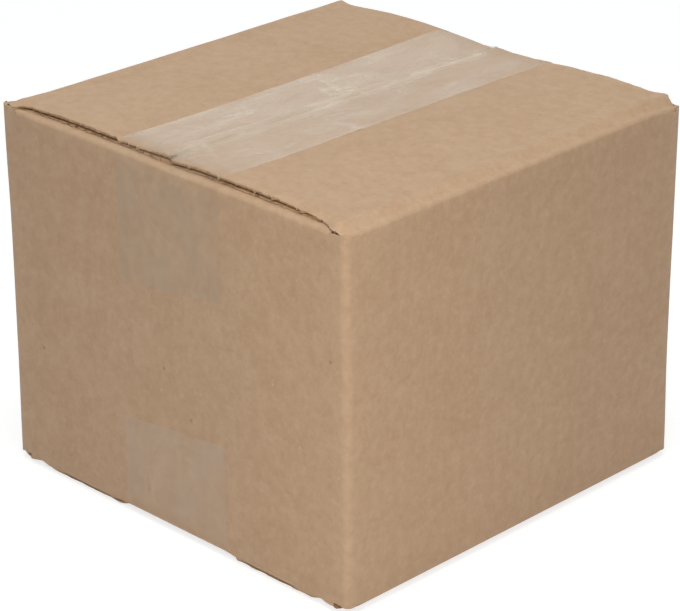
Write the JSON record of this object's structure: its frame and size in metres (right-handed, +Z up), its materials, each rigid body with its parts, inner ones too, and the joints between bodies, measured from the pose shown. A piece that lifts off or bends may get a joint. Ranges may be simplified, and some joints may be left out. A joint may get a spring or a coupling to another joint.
{
  "type": "closed cardboard box",
  "caption": "Closed corrugated cardboard box, taped shut with clear tape over the seams of its top and bottom flaps.",
  "frame": {"origin": "on the floor, under the middle of the carton", "axes": "+Z up, +Y along the seams between the outer flaps, +X across them towards the right-hand side panel"},
  "size_m": [0.16, 0.1572, 0.1322],
  "materials": {
    "kraft_board": "matt brown kraft paper",
    "clear_tape": "glossy clear film"
  },
  "bodies": {
    "root": {"carton": "kraft_board", "top_tape": "clear_tape", "bottom_tape": "clear_tape"}
  },
  "joints": []
}
